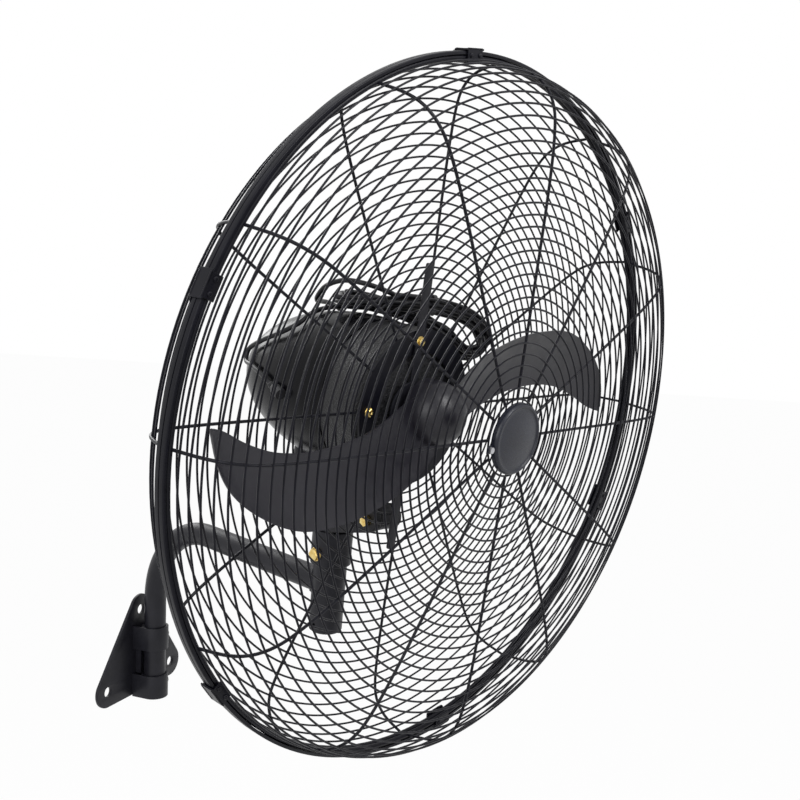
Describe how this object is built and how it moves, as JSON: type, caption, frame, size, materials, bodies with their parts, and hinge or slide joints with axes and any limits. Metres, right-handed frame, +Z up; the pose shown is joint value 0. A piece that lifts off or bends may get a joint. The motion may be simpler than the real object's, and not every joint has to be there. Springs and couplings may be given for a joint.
{
  "type": "wall mounted fan",
  "caption": "Wall mounted fan: triangular wall plate and collars, bent swing arm, tilting neck, oscillating motor head, wide swept blades and a round wire guard",
  "frame": {"origin": "centre of the wall plate's back face, on the wall, midway up between its lower holes and its top hole", "axes": "+Z is up, +Y points into the wall, and the fan blows towards -Y when its arm stands square to the wall; at rest the arm is swung 18 degrees towards -X"},
  "size_m": [0.7756, 0.7714, 0.8943],
  "materials": {
    "satin_black": "satin black powder coat",
    "wire_black": "satin black powder-coated wire",
    "crinkle_black": "black crinkle paint on die-cast aluminium",
    "gloss_black": "glossy black",
    "blade_black": "satin charcoal paint on pressed aluminium",
    "cast_black": "black painted casting",
    "rotor_aluminium": "machined",
    "badge_black": "semi-gloss, raised rim, bare face",
    "black_plastic": "matte moulded",
    "cord_black": "smooth flexible sheath",
    "brass": "zinc-yellow passivated",
    "copper": "varnished enamelled wire",
    "steel": "bright zinc"
  },
  "bodies": {
    "bracket": {"wall_plate": "satin_black", "collar_spine": "satin_black", "collar_upper": "satin_black", "collar_lower": "satin_black", "collar_bolt_upper": "satin_black", "collar_bolt_lower": "satin_black"},
    "arm": {"arm_pipe": "satin_black", "pipe_plug": "black_plastic", "neck_sleeve": "satin_black", "sleeve_band": "satin_black", "lock_bolt": "brass", "sleeve_cap": "black_plastic"},
    "yoke": {"tilt_yoke": "cast_black", "tilt_bolt": "brass", "tilt_nut": "brass"},
    "neck": {"neck_casting": "cast_black"},
    "head": {"motor_front_bell": "crinkle_black", "tail_cover": "gloss_black", "motor_rear_bell": "crinkle_black", "bearing_front": "steel", "bearing_rear": "steel", "stator": "steel", "winding": "copper", "swivel_foot": "cast_black", "gearbox": "cast_black", "rear_guard": "wire_black", "rear_guard_wall": "wire_black", "guard_strap": "satin_black", "guard_screw_top": "brass", "guard_screw_bottom": "brass", "guard_screw_left": "brass", "guard_screw_right": "brass", "rim_band": "wire_black", "front_guard": "wire_black", "front_guard_wall": "wire_black", "rim_clip_1": "wire_black", "rim_clip_2": "wire_black", "rim_clip_3": "wire_black", "rim_clip_4": "wire_black", "rim_clip_5": "wire_black", "rim_clip_6": "wire_black", "badge": "badge_black", "badge_screw": "steel", "cord_gland": "black_plastic", "cord_tail": "cord_black", "cord_coil": "cord_black", "cord_tie": "black_plastic", "cord_end": "cord_black", "plug": "cord_black", "plug_pin_1": "brass", "plug_pin_2": "brass", "plug_pin_3": "brass"},
    "impeller": {"motor_shaft": "steel", "rotor": "rotor_aluminium", "impeller_hub": "blade_black", "blade_left": "blade_black", "blade_right": "blade_black", "grub_screw": "steel"},
    "crank": {"crank": "steel"},
    "link": {"link_rod": "steel"}
  },
  "joints": [
    {"name": "arm_swing", "type": "hinge", "parent": "bracket", "child": "arm", "pos_m": [0, -0.032, 0], "axis": [0, 0, 1], "range_deg": [-27, 63]},
    {"name": "neck_pan", "type": "hinge", "parent": "arm", "child": "yoke", "pos_m": [-0.11681, -0.3915, 0.1765], "axis": [-0.0237, -0.073, 0.9971], "range_deg": [-30, 30]},
    {"name": "tilt", "type": "hinge", "parent": "yoke", "child": "neck", "pos_m": [-0.14352, -0.47371, 0.27724], "axis": [0.9511, -0.309, 0], "range_deg": [-20, 12]},
    {"name": "oscillate", "type": "hinge", "parent": "neck", "child": "head", "pos_m": [-0.12736, -0.42398, 0.32195], "axis": [-0.043, -0.1324, 0.9903], "range_deg": [-45, 45]},
    {"name": "spin", "type": "hinge", "parent": "head", "child": "impeller", "pos_m": [-0.17799, -0.57981, 0.41], "axis": [-0.306, -0.9418, -0.1392], "continuous": true},
    {"name": "crank_turn", "type": "hinge", "parent": "head", "child": "crank", "pos_m": [-0.1, -0.33978, 0.32429], "axis": [-0.043, -0.1324, 0.9903], "range_deg": [-90, 90]},
    {"name": "link_turn", "type": "hinge", "parent": "crank", "child": "link", "pos_m": [-0.106, -0.35823, 0.31147], "axis": [-0.043, -0.1324, 0.9903], "range_deg": [-90, 90]}
  ],
  "couplings": [
    {"joint": "crank_turn", "follows": "oscillate", "ratio": 2},
    {"joint": "link_turn", "follows": "oscillate", "ratio": -2}
  ]
}
